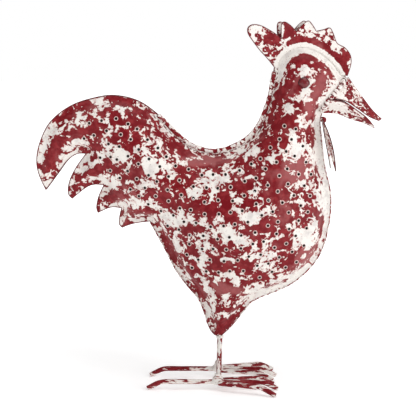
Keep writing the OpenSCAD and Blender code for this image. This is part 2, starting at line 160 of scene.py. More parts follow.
# %% The edge of a body half
BACK = fit([[-154, 184], [-160.5, 199], [-162.5, 213], [-159, 230], [-149, 249], [-130, 264], [-108, 271.5],
    [-88, 274], [-66, 269], [-47, 256], [-30, 239], [-14, 227], [6, 222.5], [24, 227.5], [40, 238], [50, 254],
    [57, 277], [61, 300]])
HEAD_TOP = fit([[61, 300], [65.5, 311], [76, 319.5], [89.5, 322], [104, 317], [117, 307], [126.5, 294.5]])
NOSE = fit([[126.5, 294.5], [129, 286.5], [128, 277.5], [123.5, 267.5], [116, 260.5], [107, 258]])
BREAST = fit([[107, 258], [105, 248], [107, 228], [110, 206], [115, 185], [116, 168], [114, 149], [109, 129],
    [100, 113], [84, 97], [66, 87], [52, 81.5], [41, 76]])
TIP_FRONT = fit([[41, 76], [30, 62], [20, 50], [12, 43.5]])
RUMP = fit([[12, 43.5], [5, 44.5], [0, 51.5], [-4, 65], [-10, 79], [-22, 93.5], [-32, 108], [-41, 126],
    [-50, 143], [-56, 154]])
FEATHERS = [
    fit([[-56, 154], [-68, 152.5], [-76, 150.5], [-82, 148]]),
    fit([[-82, 148], [-85, 151], [-85, 158], [-83, 167]]),
    fit([[-83, 167], [-93, 167.5], [-105, 162.5]]),
    fit([[-105, 162.5], [-106.5, 168], [-104.5, 178], [-99.5, 189]]),
    fit([[-99.5, 189], [-108, 189.5], [-116, 186.5], [-129, 176]]),
    fit([[-129, 176], [-133, 181], [-132, 192], [-126, 205], [-116, 219]]),
    fit([[-116, 219], [-124, 218.5], [-133, 212], [-142, 200], [-154, 184]])]
STEPS = 6
NOSE_SHARE = 0.25
strokes = [BACK, HEAD_TOP, NOSE, BREAST, TIP_FRONT, RUMP] + FEATHERS
EDGE = np.vstack([smooth(s, STEPS) for s in strokes])
share = np.concatenate([np.full((len(s) - 1) * STEPS, NOSE_SHARE if s is NOSE else 1.0) for s in strokes])
reach = np.linalg.norm(np.roll(EDGE, -1, 0) - EDGE, axis=1)
WEIGHT = share * (reach + np.roll(reach, 1)) / 2
print("points on the edge:", len(EDGE))

# %% [markdown]
# ## How a half is domed
# Sheet that is beaten into a mould lies flat at its edge, climbs a steep flank and then swells gently.
# Its height depends on how far a point is from the edge. A plain distance would leave sharp creases
# down the middle of each feather, so a softened distance is used: the sum of an inverse power over
# the whole edge. It equals the true distance beside a long straight edge and rounds off elsewhere.


# %% Distances to the edge
def in_chunks(work, points, size=4000):
    """Runs an array function over a long list of points in pieces, to save memory."""
    return np.concatenate([work(points[i : i + size]) for i in range(0, len(points), size)])


def forming_distance(points):
    """(2/pi sum of w / r^4) ^ (-1/3), over the edge's points with weights w at distances r."""

    def work(p):
        r2 = ((p[:, None] - EDGE[None]) ** 2).sum(-1).clip(0.25)
        return (2 / math.pi * (WEIGHT / r2**2).sum(1)) ** (-1 / 3)

    return in_chunks(work, points)


def to_nearest(places, points):
    """Least distance from each point to a list of places."""
    return in_chunks(lambda p: np.sqrt(((p[:, None] - places) ** 2).sum(-1)).min(1), points)


def distance_to(line, points, closed=True):
    """Least distance from each point to the segments of a line."""
    a = line if closed else line[:-1]
    b = np.roll(line, -1, 0) if closed else line[1:]

    def work(p):
        ab = b - a
        t = ((p[:, None] - a) * ab).sum(-1) / (ab**2).sum(-1).clip(1e-9)
        near = a + ab * np.clip(t, 0, 1)[..., None]
        return np.sqrt(((p[:, None] - near) ** 2).sum(-1).min(1))

    return in_chunks(work, points)


def inside(loop, points):
    """Even-odd test: a ray to the right crosses the loop an odd number of times."""
    a, b = loop, np.roll(loop, -1, 0)

    def work(p):
        x, z = p[:, :1], p[:, 1:]
        crosses = (a[:, 1] > z) != (b[:, 1] > z)
        rise_over = np.where(b[:, 1] == a[:, 1], 1e-9, b[:, 1] - a[:, 1])
        left = x < a[:, 0] + (z - a[:, 1]) / rise_over * (b[:, 0] - a[:, 0])
        return (crosses & left).sum(1) % 2 == 1

    return in_chunks(work, points)


def tail_lift(x):
    """Distance of a sheet from the middle plane, which grows towards the tail's end."""
    return TAIL_GAP * ease((fit([[-58, 0]])[0, 0] - x) / 70)


def rise(points):
    """Height over the middle plane: wall + tail lift + slimness (flank step + dome slope x distance)."""
    d = forming_distance(points)
    x, z = drawn(points).T
    slim = (0.42 + 0.58 * ease((x + 150) / 110)) * (1 - 0.15 * ease((z - 235) / 40))
    formed = FLANK_RISE * ease((d - FLANGE) / FLANK_WIDTH) + DOME_SLOPE * np.maximum(0, d - FLANGE)
    return WALL + tail_lift(points[:, 0]) + slim * formed


# %% [markdown]
# ## Unevenness
# Hand work is never even. Value noise gives soft random waves: random numbers on a lattice, blended
# smoothly between lattice points. It is worked out on whole arrays and is the same at every run.


# %% Value noise on arrays
def waves(u, v, seed):
    """Random lattice values, blended with smooth steps in u and v. Runs from -1 to 1."""
    table = np.random.default_rng(seed).uniform(-1, 1, (64, 64))
    u, v = np.broadcast_arrays(np.asarray(u, float), np.asarray(v, float))
    i, j = np.floor(u).astype(int), np.floor(v).astype(int)
    s, t = ease(u - i), ease(v - j)
    a, b = table[i % 64, j % 64], table[(i + 1) % 64, j % 64]
    c, d = table[i % 64, (j + 1) % 64], table[(i + 1) % 64, (j + 1) % 64]
    return (a * (1 - s) + b * s) * (1 - t) + (c * (1 - s) + d * s) * t


# %% [markdown]
# ## Meshes from arrays
# Two makers are enough for the whole bird. One takes a grid of points, for rods, beads and the bill.
# The other takes a flat outline, fills it with well-shaped triangles and lifts it, for the sheets.

# %% Turn arrays into objects
made = {}
HOLE_SIDES, ROD_SIDES, BEAD_SIDES, WELD_SIDES = 12, 16, 12, 28
FAR = 9.0  # a distance to an edge that is too great to matter to the paint


def new_piece(name, points, faces, stands_for, slot, **paint):
    """One object from points in millimetres and faces, with one number per point for each paint field."""
    mesh = bpy.data.meshes.new(name)
    faces = faces.tolist() if isinstance(faces, np.ndarray) else faces
    mesh.from_pydata((np.asarray(points, float) * MM).tolist(), [], faces)
    for field, values in paint.items():
        layer = mesh.attributes.new(field, "FLOAT", "POINT")
        layer.data.foreach_set("value", np.ascontiguousarray(values, np.float32))
    mesh.polygons.foreach_set("use_smooth", [True] * len(mesh.polygons))
    mesh.update()
    piece = bpy.data.objects.new(name, mesh)
    bpy.context.scene.collection.objects.link(piece)
    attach(piece, "root")
    for node in stands_for:
        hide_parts(node)
    made[name] = piece
    return piece


def thicken(piece, thickness, finishes, outer=-1.0):
    """Gives a surface the thickness of sheet. The finishes are for its face, its back and its cut edge."""
    for finish in finishes:
        piece.data.materials.append(finish)
    wall = piece.modifiers.new("sheet", "SOLIDIFY")
    wall.thickness = thickness * MM
    wall.offset = outer
    wall.use_even_offset = False
    wall.material_offset, wall.material_offset_rim = 1, 2
    return piece


def grid_faces(rows, cols, wrap=False, flip=False):
    """Quads between the points of a grid, closed round its columns if it wraps."""
    r, c = np.mgrid[0 : rows - 1, 0 : cols if wrap else cols - 1]
    n = (c + 1) % cols
    quads = np.stack([r * cols + c, r * cols + n, (r + 1) * cols + n, (r + 1) * cols + c], -1).reshape(-1, 4)
    return quads[:, ::-1] if flip else quads


def fill(loop, holes=(), spacing=2.2, rings=(), margin=0.9):
    """Points and triangles inside a loop: a hexagonal field, with hole loops cut out and rings round them."""
    low, high = loop.min(0), loop.max(0)
    z, x = np.mgrid[low[1] : high[1] : spacing * 0.866, low[0] : high[0] : spacing]
    x[1::2] += spacing / 2
    field = np.stack([x.ravel(), z.ravel()], 1)
    field = field[inside(loop, field)]
    field = field[distance_to(loop, field) > margin]
    turn = np.arange(HOLE_SIDES) * math.tau / HOLE_SIDES
    circle = np.stack([np.cos(turn), np.sin(turn)], 1)
    cuts, around = [], []
    if len(holes):
        holes = np.asarray(holes)
        field = field[to_nearest(holes, field) > rings[-1] + 0.35 * spacing]
        cuts = [h + circle * rings[0] for h in holes]
        around = [(holes[:, None] + circle * r).reshape(-1, 2) for r in rings[1:]]
    loops = [loop] + cuts
    starts = np.cumsum([0] + [len(l) for l in loops])
    points = np.vstack(loops + around + [field])
    fences = [(s + i, s + (i + 1) % len(l)) for s, l in zip(starts, loops) for i in range(len(l))]
    verts, _, faces, *_ = delaunay_2d_cdt([Vector(p) for p in points], fences, [], 0, 1e-6)
    flat = np.array([(v.x, v.y) for v in verts])
    faces = np.array(faces)
    middle = flat[faces].mean(1)
    kept = inside(loop, middle)
    if len(holes):
        kept &= to_nearest(holes, middle) > 0.9 * rings[0]
    faces = faces[kept]
    a, b, c = flat[faces[:, 0]], flat[faces[:, 1]], flat[faces[:, 2]]
    area = (b[:, 0] - a[:, 0]) * (c[:, 1] - a[:, 1]) - (c[:, 0] - a[:, 0]) * (b[:, 1] - a[:, 1])
    faces[area < 0] = faces[area < 0][:, ::-1]
    return flat, faces


def sided(flat, height, side):
    """A flat pattern stood up: [x, side x height, z], where the bird's right side is -1."""
    return np.stack([flat[:, 0], side * height, flat[:, 1]], 1)


def tube(path, radius, around=14, lump=0.0, lump_size=2.5, seed=1, squash=1.0):
    """A section carried along a path: centre + r (a cos w + squash b sin w), with r uneven by lump."""
    path = np.asarray(path, float)
    radius = np.broadcast_to(np.asarray(radius, float), len(path)).copy()
    t = np.gradient(path, axis=0)
    t /= np.linalg.norm(t, axis=1)[:, None]
    helper = np.where(np.abs(t[:, 1:2]) > 0.8, [[1.0, 0, 0]], [[0, 1.0, 0]])
    a = np.cross(t, helper)
    a /= np.linalg.norm(a, axis=1)[:, None]
    b = np.cross(a, t)
    w = np.arange(around) * math.tau / around
    s = lengths(path)
    r = radius[:, None] * (1 + lump * waves(s[:, None] / lump_size, 1.5 + 1.5 * np.cos(w), seed)
        + 0.5 * lump * waves(s[:, None] / lump_size * 2.3, 3.5 + 2.5 * np.sin(w), seed + 1))
    across = a[:, None] * np.cos(w)[:, None] + b[:, None] * np.sin(w)[:, None] * squash
    points = path[:, None] + r[..., None] * across
    faces = grid_faces(len(path), around, wrap=True).tolist()
    faces += [list(range(around))[::-1], list(range((len(path) - 1) * around, len(path) * around))]
    crest = (r / radius[:, None] - 1).ravel()
    return points.reshape(-1, 3), faces, crest


# %% [markdown]
# ## Shader arithmetic
# A finish is a sum of masks. Written as node graphs by hand, masks are hard to read, so a small class
# wraps a socket: adding or multiplying two of them adds the Math node that does it.


# %% Sockets that can be added and multiplied
class Amount:
    """A number that varies over a surface: wraps an output socket and turns arithmetic into Math nodes."""

    def __init__(self, finish, socket):
        self.finish, self.socket = finish, socket

    def _math(self, operation, first, second):
        return self.finish.node("ShaderNodeMath", {"operation": operation}, {0: first, 1: second}).out(0)

    def __add__(self, other):
        return self._math("ADD", self, other)

    def __sub__(self, other):
        return self._math("SUBTRACT", self, other)

    def __rsub__(self, other):
        return self._math("SUBTRACT", other, self)

    def __mul__(self, other):
        return self._math("MULTIPLY", self, other)

    __radd__, __rmul__ = __add__, __mul__

    def step(self, low, high):
        """0 below low, 1 above high, smooth between."""
        settings = {"interpolation_type": "SMOOTHSTEP", "clamp": True}
        inputs = {"Value": self, "From Min": low, "From Max": high}
        return self.finish.node("ShaderNodeMapRange", settings, inputs).out(0)


class Made:
    """A node just added, read by output number or name."""

    def __init__(self, finish, node):
        self.finish, self.raw = finish, node

    def out(self, key):
        return Amount(self.finish, self.raw.outputs[key])


class Finish:
    """A material being written: nodes are added by type, settings first and inputs second."""

    def __init__(self, name):
        self.material = bpy.data.materials.new(name)
        self.material.use_nodes = True
        self.tree = self.material.node_tree
        self.shader = self.tree.nodes["Principled BSDF"]
        self.place = self.node("ShaderNodeTexCoord").out("Object")

    def node(self, kind, settings=None, inputs=None):
        raw = self.tree.nodes.new(kind)
        for key, value in (settings or {}).items():
            setattr(raw, key, value)
        for key, value in (inputs or {}).items():
            self.feed(raw.inputs[key], value)
        return Made(self, raw)

    def feed(self, socket, value):
        if isinstance(value, Amount):
            self.tree.links.new(value.socket, socket)
        else:
            socket.default_value = value

    def stretched(self, scale):
        """Object place in millimetres, multiplied by a scale along each axis."""
        factor = tuple(s / MM for s in scale)
        return self.node("ShaderNodeVectorMath", {"operation": "MULTIPLY"}, {0: self.place, 1: factor}).out(0)

    def noise(self, size, detail=4.0, rough=0.55, distort=0.0, place=None, shift=0.0):
        """Cloudy noise whose features are about size millimetres wide, from 0 to 1."""
        spot = place or self.stretched((1, 1, 1))
        shifted = {0: spot, 1: (shift, shift, shift)}
        spot = self.node("ShaderNodeVectorMath", {"operation": "ADD"}, shifted).out(0)
        inputs = {"Vector": spot, "Scale": 1 / size, "Detail": detail, "Roughness": rough,
            "Distortion": distort}
        return self.node("ShaderNodeTexNoise", None, inputs).out(0)

    def field(self, name):
        """A number stored per point on the mesh."""
        return self.node("ShaderNodeAttribute", {"attribute_name": name}).out("Fac")

    def blend(self, share, first, second):
        """Colour mix: first where share is 0, second where it is 1."""
        raw = self.tree.nodes.new("ShaderNodeMix")
        raw.data_type = "RGBA"
        for key, value in zip((0, 6, 7), (share, first, second)):
            self.feed(raw.inputs[key], value)
        return Amount(self, raw.outputs[2])

    def bump(self, height, distance):
        """Relief of a height field, where 1 is as deep as the distance in millimetres."""
        inputs = {"Height": height, "Distance": distance * MM}
        self.feed(self.shader.inputs["Normal"], self.node("ShaderNodeBump", None, inputs).out("Normal"))

    def set(self, **values):
        for key, value in values.items():
            self.feed(self.shader.inputs[key.replace("_", " ")], value)
        return self.material


# %% [markdown]
# ## Distressed paint
# On the real figure a red coat lies over warm white, and it has been sanded and rubbed until half of
# the white shows. Rubbing takes paint off what stands proud: the lips of the punched holes and rims.
# The red left behind is thin in places and looks pink, and the same pink is laid as a painted reflection
# of the key light on the right of the head, neck and belly. So the finish is one mask, red or white, from
# cloudy noise at three sizes plus a number stored on each point, and thinner layers laid over it.

# %% Paint colours, as linear red, green and blue
DEEP_RED = (0.165, 0.0015, 0.006, 1)
MID_RED = (0.25, 0.016, 0.021, 1)
PINK = (0.42, 0.14, 0.14, 1)
WARM_WHITE = (0.84, 0.80, 0.755, 1)
GREY_WHITE = (0.56, 0.51, 0.495, 1)
SPECK = (0.20, 0.03, 0.03, 1)
HALO = (0.66, 0.42, 0.38, 1)
HOLE_EDGE_SHADE = (0.025, 0.008, 0.008, 1)
RIM_AND_SHADE_RED = (0.13, 0.012, 0.015, 1)
DARK_METAL = (0.022, 0.018, 0.017, 1)
RUST = (0.05, 0.025, 0.018, 1)
EYE_DARK, EYE_LIGHT, EYE_RIM_SHADE = (0.13, 0.002, 0.005, 1), (0.21, 0.003, 0.008, 1), (0.03, 0.003, 0.004, 1)
HALF_RED = 0.99  # close to the middle value of the weighted noises


# %% The paint recipe
def distressed(name, red=0.0, size=13.0, stretch=(1, 1, 1), rim=None, punched=False, dirt=0.5, shift=0.0):
    """Red where weighted noises + red + stored bias pass HALF_RED; punched lips white, with painted shade at
    the hole edges and a painted reflection in the pink; rims edged dark red, which on the body also paints
    shade along the back seam.
    """
    f = Finish(name)
    spot = f.stretched(stretch)
    large = f.noise(size, 2.0, 0.5, 0.3, spot, shift)
    ragged = f.noise(size * 0.46, 2.0, 0.55, 0.6, spot, shift + 7)
    fine = f.noise(0.9, 3.0, 0.6, 0.0, None, shift + 3)
    chips = f.noise(size * 0.19, 2.0, 0.5, 0.5, spot, shift + 13)
    clouds = large * 0.4 + ragged * 1.05 + chips * 0.5 + fine * 0.08
    level = clouds + f.field("red_bias") * 0.12 + (red - HALF_RED)
    cover = level.step(-0.015, 0.02)
    if punched:
        lip = f.field("punch") + fine
        cover = cover * lip.step(2.2, 2.8)
    thin = f.noise(22, 3.0, 0.6, 0.4, spot, shift + 19)
    # Pink where the red coat is thin, and a painted reflection of the key light where the stored field is
    # high.
    worn_and_sheen = (thin + f.field("wear") * 0.3).step(0.52, 0.78) * (0.35 + ragged * 0.9)
    red_paint = f.blend(f.noise(6, 4.0, 0.6, 0.2, None, shift + 11).step(0.42, 0.66), DEEP_RED, MID_RED)
    red_paint = f.blend(worn_and_sheen * 0.6, red_paint, PINK)
    soot = f.noise(9, 5.0, 0.65, 0.2, None, shift + 29)
    white = f.blend(soot.step(0.42, 0.75) * dirt, WARM_WHITE, GREY_WHITE)
    halo = level.step(-0.09, -0.012) * 0.55
    white = f.blend(halo, white, HALO)
    specks = f.noise(1.5, 2.0, 0.5, 0.0, None, shift + 41).step(0.65, 0.72)
    white = f.blend(specks * 0.75, white, SPECK)
    coat = f.blend(cover, white, red_paint)
    if punched:
        # Painted shadow: near black round the edge of each punched hole.
        coat = f.blend(f.field("punch").step(1.25, 1.55), HOLE_EDGE_SHADE, coat)
    if rim is not None:
        # A dark red line near the edges; on the body it also paints shade beside the back seam.
        edge = f.field("edge_mm") + f.noise(3.0, 3.0, 0.6, 0.0, None, shift + 53) * 1.1
        coat = f.blend((1 - edge.step(rim, rim + 0.35)) * 0.9, coat, RIM_AND_SHADE_RED)
    grain = f.noise(0.5, 3.0, 0.6, 0.0, None, shift + 61)
    dents = f.noise(16, 2.0, 0.5, 0.0, None, shift + 67)
    f.bump(cover * 0.30 + grain * 0.10 + dents * 2.2 + ragged * 0.25, 0.22)
    rough = 0.40 - cover * 0.08 + fine * 0.16
    return f.set(Base_Color=coat, Roughness=rough, Specular_IOR_Level=0.18,
        Coat_Weight=0.03, Coat_Roughness=0.25)


def bare_metal(name, colour=DARK_METAL):
    """Unpainted sheet inside the body: dark, rough and a little rusty. Given a near-black colour, it paints
    shade on the cut edges.
    """
    f = Finish(name)
    rust = f.noise(4, 4.0, 0.6).step(0.45, 0.7)
    tint = f.blend(rust, colour, RUST)
    f.bump(f.noise(0.8, 3.0), 0.1)
    return f.set(Base_Color=tint, Roughness=0.75 + rust * 0.1, Metallic=0.2)


inside_metal = bare_metal("inside_metal")
# Painted shade: the cut edges, the walls of the punched holes among them, are near black.
cut_edge_shade = bare_metal("cut_edge_shade", (0.06, 0.01, 0.01, 1))
body_paint = distressed("body_paint", red=0.0, size=15, punched=True, rim=1.35, dirt=0.8)
print("materials so far:", len(bpy.data.materials))

# %% [markdown]
# ## Rows of punched holes
# The holes follow the back in parallel rows, each half a pitch along from the last. A rule makes them:
# a row is the back's curve moved inwards, with points at equal steps along it and a small unevenness.

# %% Places of the holes
FIRST_ROW, ROW_PITCH, HOLE_PITCH, HOLE_MARGIN = 21.5, 11.3, 12.0, 15.0
ROWS = 15
UNEVEN = 1.1
PLAIN_FROM_X, PLAIN_LOW, PLAIN_HIGH = -119, 104, 257
leg_low, leg_high = node_box("right_leg")
LEG_R = 2.5
LEG_X = leg_high[0] - LEG_R
back_curve = smooth(BACK, 6)
coarse_edge = np.vstack([smooth(s, 3) for s in strokes])


def hole_row(k):
    """Points at equal steps along the back moved in by the row's distance, kept where the sheet is plain."""
    gap = FIRST_ROW + k * ROW_PITCH
    t = back_curve[np.minimum(np.arange(len(back_curve)) + 1, len(back_curve) - 1)]
    t = t - back_curve[np.maximum(np.arange(len(back_curve)) - 1, 0)]
    line = back_curve + np.stack([t[:, 1], -t[:, 0]], 1) / np.linalg.norm(t, axis=1)[:, None] * gap
    s = lengths(line)
    i = np.arange(int(s[-1] // HOLE_PITCH))
    place = (i + 0.5 * (k % 2)) * HOLE_PITCH
    p = np.stack([np.interp(place, s, line[:, c]) for c in (0, 1)], 1)
    turn = np.radians([97 * i + 211 * k, 151 * i + 67 * k]).T
    q = p + UNEVEN * np.sin(turn)
    apart = to_nearest(back_curve, p)
    margin = to_nearest(coarse_edge, q)
    x, z = drawn(q).T
    plain = (x > PLAIN_FROM_X) & (z < PLAIN_HIGH) & (z > PLAIN_LOW)
    return q[(apart > gap - 0.6) & (margin > HOLE_MARGIN) & plain & inside(coarse_edge, q)]


HOLES = np.vstack([hole_row(k) for k in range(ROWS)])
print("punched holes in each half:", len(HOLES))

# %% [markdown]
# ## The two body halves
# Each half is one sheet: the flat outline is filled with triangles, the holes are cut out of it, and
# the whole pattern is lifted by the doming rule. A punch driven from inside leaves a raised lip round
# each hole, so the sheet swells a little there. Thickness comes last, towards the inside.


# %% Where the sander lingered
# Soft ovals, listed one by one: [x, z, half length, half width, tilt in degrees, more red or less].
TAIL = [[-150, 212, 15, 4, 70, 1.5], [-138, 229, 10, 6, 40, 1.5], [-118, 240, 15, 4, 22, 1.6],
    [-103, 241, 9, 8, 0, 1.3], [-137, 254, 13, 4.5, 42, 1.5], [-120, 262, 10, 2.5, 35, 0.8],
    [-110, 266, 7, 3, 0, 1.2], [-93, 256, 9, 6, 0, 1.7], [-79, 269, 9, 4, -15, 1.4],
    [-60, 256, 10, 5, 0, 0.9], [-72, 250, 14, 3, 0, 1.2], [-73, 232, 9, 8, 0, 1.4],
    [-105, 229, 9, 7, 0, 1.3], [-108, 203, 15, 4, 25, 1.5], [-83, 204, 11, 4, -12, 1.3],
    [-66, 200, 8, 7, 0, 0.9], [-85, 180, 22, 4.5, 14, 1.6], [-62, 165, 11, 4.5, 0, 1.6],
    [-128, 181, 5, 4, 50, 1.0], [-155, 228, 26, 3.5, 76, -1.7], [-134, 243, 11, 3, 20, -1.2],
    [-123, 229, 10, 5, 20, -1.5], [-133, 212, 12, 4, 50, -1.7], [-101, 268, 9, 4, 0, -1.5],
    [-85, 221, 8, 9, 0, -1.3], [-105, 196, 13, 2.5, 15, -1.3], [-90, 192, 10, 5, 0, -1.3],
    [-120, 208, 14, 4, 60, -1.6], [-77, 172, 14, 4.5, 5, -1.5], [-66, 156, 14, 2.5, 8, -1.5],
    [-63, 245, 7, 3, 0, -1.0]]
BODY = [[-25, 225, 20, 5, -38, 1.4], [5, 213, 24, 4.5, 3, 1.3], [-27, 190, 5, 14, 0, 1.5],
    [-14, 193, 10, 2.5, 0, 1.2], [-42, 180, 12, 5, -15, 1.2], [-12, 172, 26, 5, -4, 1.4],
    [15, 180, 8, 8, 0, 1.4], [23, 161, 12, 6, -35, 1.2], [31, 192, 12, 4, -5, 1.4], [38, 176, 8, 4, 0, 1.3],
    [40, 152, 11, 5, 0, 1.3], [-17, 149, 8, 5, 0, 0.9], [48, 217, 12, 7, 30, 1.3],
    [38, 206, 6, 3.5, 0, 1.2], [61, 200, 13, 13, 0, 1.6], [58, 182, 9, 6, 30, 1.2],
    [71, 172, 6, 26, 0, 1.3], [70, 140, 9, 12, 0, 1.2], [94, 172, 5, 16, 0, 1.2],
    [104, 160, 11, 4, -55, 1.2], [106, 196, 3, 9, 10, 1.0], [22, 137, 12, 4, 0, 0.9],
    [9, 117, 12, 7, 0, 1.4], [-18, 113, 15, 5, -50, 1.2], [-36, 130, 15, 5, -62, 1.2],
    [32, 113, 6, 5, 0, 1.0], [73, 115, 8, 5, -30, 1.1], [51, 102, 17, 4, 8, 1.4], [18, 93, 14, 5, -10, 1.2],
    [-8, 86, 10, 4, -55, 1.6], [12, 56, 10, 7, 0, 2.0], [25, 63, 11, 3.5, 48, 1.6],
    [20, 71, 11, 2.5, 0, 0.9], [90, 122, 13, 8, 25, 1.0], [83, 207, 13, 13, 0, 0.5],
    [5, 197, 14, 7, 0, -1.5], [-9, 187, 10, 4, 0, -1.1], [-42, 208, 12, 5, 0, -1.6],
    [-56, 212, 6, 12, 0, -1.3], [-34, 160, 22, 5.5, 0, -1.4], [-53, 175, 6, 4, 0, -1.5],
    [15, 150, 14, 7, 0, -1.5], [39, 165, 12, 7, 0, -1.2], [48, 190, 10, 4, 20, -1.2],
    [57, 172, 6, 6, 0, -0.8], [87, 193, 6, 6, 0, -1.5], [88, 172, 4, 8, 0, -1.4],
    [109, 180, 6, 24, 0, -1.8], [97, 157, 6, 7, 0, -1.5], [90, 143, 9, 6, 0, -1.6],
    [50, 125, 13, 7, 0, -1.2], [-3, 122, 11, 4, 0, -1.3], [20, 103, 16, 4, 0, -1.3],
    [68, 106, 12, 4, 10, -1.2], [86, 104, 13, 9, 40, -1.6], [46, 88, 14, 5, 10, -1.5],
    [20, 83, 9, 3, 0, -0.9], [0, 70, 5, 9, 20, -2.2], [24, 66.5, 9, 1.8, 10, -1.0],
    [-27, 105, 9, 3, -52, -1.3], [-48, 140, 11, 3, -62, -1.0], [43, 225, 9, 4, 32, -1.7],
    [59, 217, 4, 5, 0, -1.3], [97, 214, 7, 13, 0, -1.4]]
HEAD = [[93, 307, 16, 5.5, -15, 1.8], [82, 285, 4, 20, 0, 1.2], [71, 279, 5, 11, 0, 1.3],
    [64, 262, 5, 22, -5, 1.5], [60, 232, 13, 9, 25, 1.8], [80, 246, 9, 14, 0, 0.9],
    [70, 250, 10, 7, 0, 1.6], [98, 274, 27, 5.5, 68, 1.5], [115, 292, 5, 7, 20, 0.8],
    [95, 241, 8, 3, -60, 1.3], [97, 227, 5, 3, 0, 1.0], [92, 297, 8, 4, 0, -1.7], [97, 286, 3, 6, 0, -1.1],
    [88, 276, 5, 7, 0, -1.6], [75, 263, 8, 6, 0, -1.8], [67, 297, 5, 12, 0, -1.5],
    [111, 280, 12, 7, 60, -1.6], [108, 265, 7, 9, 0, -1.7], [76, 240, 8, 6, -20, -1.8],
    [81, 228, 8, 9, 0, -1.7], [89, 248, 5, 6, 0, -1.3], [104, 236, 5, 22, 5, -1.8]]
COMB = [[58, 326, 7, 5, 0, 1.8], [47, 328, 3, 8, 15, 0.9], [61, 314, 5, 4, 0, 0.4], [76, 335, 6, 6, 0, 1.9],
    [73, 326, 4, 2.5, 0, -1.5], [50, 318, 5, 4, -50, -1.2], [88, 337, 3, 3, 0, 1.5],
    [113, 332, 6, 3, 0, 0.6], [128, 311, 8, 3.5, 0, 1.8], [43, 336, 5, 7, 0, -1.6],
    [55, 338, 13, 3, -10, -1.8], [68, 330, 2, 10, 0, -1.5], [95, 337, 8, 6, 0, -1.8],
    [107, 333, 5, 4, 0, -1.3], [117, 320, 5, 6, 0, -1.7], [132, 302, 3, 7, 0, -1.8]]
BILL = [[131, 277, 4, 5, 0, 0.6], [130, 268, 8, 1.5, -10, 1.4], [122, 272, 7, 9, 0, -1.3],
    [122, 262, 14, 4, -15, -1.5], [152, 262, 13, 3.2, -52, 1.9], [146, 252, 6, 1.6, -35, 1.2],
    [122, 258, 2.5, 2, 0, 1.4], [140, 276, 7, 5, -50, -1.0], [124, 284, 6, 6, 0, -1.2],
    [140, 257, 12, 3, -30, -0.8], [120, 264, 9, 4, 0, -1.8]]
# Pink over the red: partly thin paint, partly a painted reflection of the key light on the head, neck and
# belly.
PINK_SHEEN_AND_WEAR = [[97, 272, 26, 7, 68, 1.0], [82, 206, 14, 15, 0, 1.2], [91, 122, 13, 9, 25, 1.2],
    [18, 93, 15, 6, -10, 0.8], [0, 214, 26, 5, 0, 0.7], [70, 170, 9, 30, 0, 0.45]]


def laid(points, ovals):
    """Sum of amounts, each times e^-(r^3), where r is the distance in half lengths and half widths."""
    total = np.zeros(len(points))
    for x, z, long, wide, tilt, amount in ovals:
        c, s = math.cos(math.radians(tilt)), math.sin(math.radians(tilt))
        d = points - fit([[x, z]])
        u, v = (d[:, 0] * c + d[:, 1] * s) / long, (d[:, 1] * c - d[:, 0] * s) / wide
        total += amount * np.exp(-((u**2 + v**2) ** 1.5))
    return np.clip(total, -2.2, 2.2)


# %% Form a half
LIP_HEIGHT, LIP_WIDTH = 0.38, 0.95
BEATEN, BEATEN_SIZE = 0.28, 17
ROD_ROOM, ROD_REACH = 5.6, 6.2
FAR_SIDE = 0.6
flat, triangles = fill(EDGE, HOLES, 2.1, (HOLE_R, 1.45, 2.0, 2.8))
to_edge = distance_to(EDGE, flat)
to_hole = to_nearest(HOLES, flat)
lip = LIP_HEIGHT * np.exp(-(((to_hole - HOLE_R) / LIP_WIDTH) ** 2))
# The sheets swell over the two leg rods, where these leave the body together.
near_rods = np.exp(-(((flat[:, 0] - LEG_X) / ROD_REACH) ** 4)) * (1 - ease((drawn(flat)[:, 1] - 58) / 12))
height = rise(flat)
height = np.maximum(height, height + (ROD_ROOM - height) * near_rods)
head_line = smooth(HEAD_TOP, 6, closed_end=True)
breast_line = smooth(BREAST, 6, closed_end=True)
seam_line = smooth(BACK, 6)
seam_line = seam_line[drawn(seam_line)[:, 0] > -50]
to_head_line = distance_to(head_line, flat, closed=False)
to_breast_line = distance_to(breast_line, flat, closed=False)
to_seam = distance_to(seam_line, flat, closed=False)
bare_band = 1 - ease((to_head_line - 8.0) / 1.6)
bare_breast = 1 - ease((to_breast_line - 4.0) / 4.0)
bare_seam = 1 - ease((to_seam - 4.5) / 2.5)
hand_rubbed = laid(flat, TAIL + BODY + HEAD) - 3.5 * bare_band - 1.3 * bare_breast - 0.8 * bare_seam
# Distance to a dark red line: along the sheet's edge, and as painted shade 4.3 mm in from the back's edge,
# where the seam bead meets the sheet.
edge_and_seam_shade = np.minimum(np.minimum(to_edge, 20), np.abs(to_seam - 4.3) + 0.35)
print("triangles in each half:", len(triangles))


def body_half(name, side, node):
    """The pattern lifted by height + lip + beaten waves; the far side carries the ovals more weakly."""
    beaten = BEATEN * waves(flat[:, 0] / BEATEN_SIZE, flat[:, 1] / BEATEN_SIZE, 5 + side)
    beaten = beaten * ease((to_edge - 5) / 9)
    points = sided(flat, height + lip + beaten, side)
    piece = new_piece(name, points, triangles if side < 0 else triangles[:, ::-1], [node], "body_paint",
        red_bias=hand_rubbed * (1 if side < 0 else FAR_SIDE), wear=laid(flat, PINK_SHEEN_AND_WEAR),
        edge_mm=edge_and_seam_shade, punch=np.minimum(to_hole, FAR))
    return thicken(piece, SHEET, [body_paint, inside_metal, cut_edge_shade])


body_half("right_half", -1, "right_body_shell")
body_half("left_half", 1, "left_body_shell")

# %% [markdown]
# ## The comb
# Two flat sheets are cut by hand into five lobes and lapped on the head's flange. They are filled and
# stood up like the body, and lean apart towards their tips.

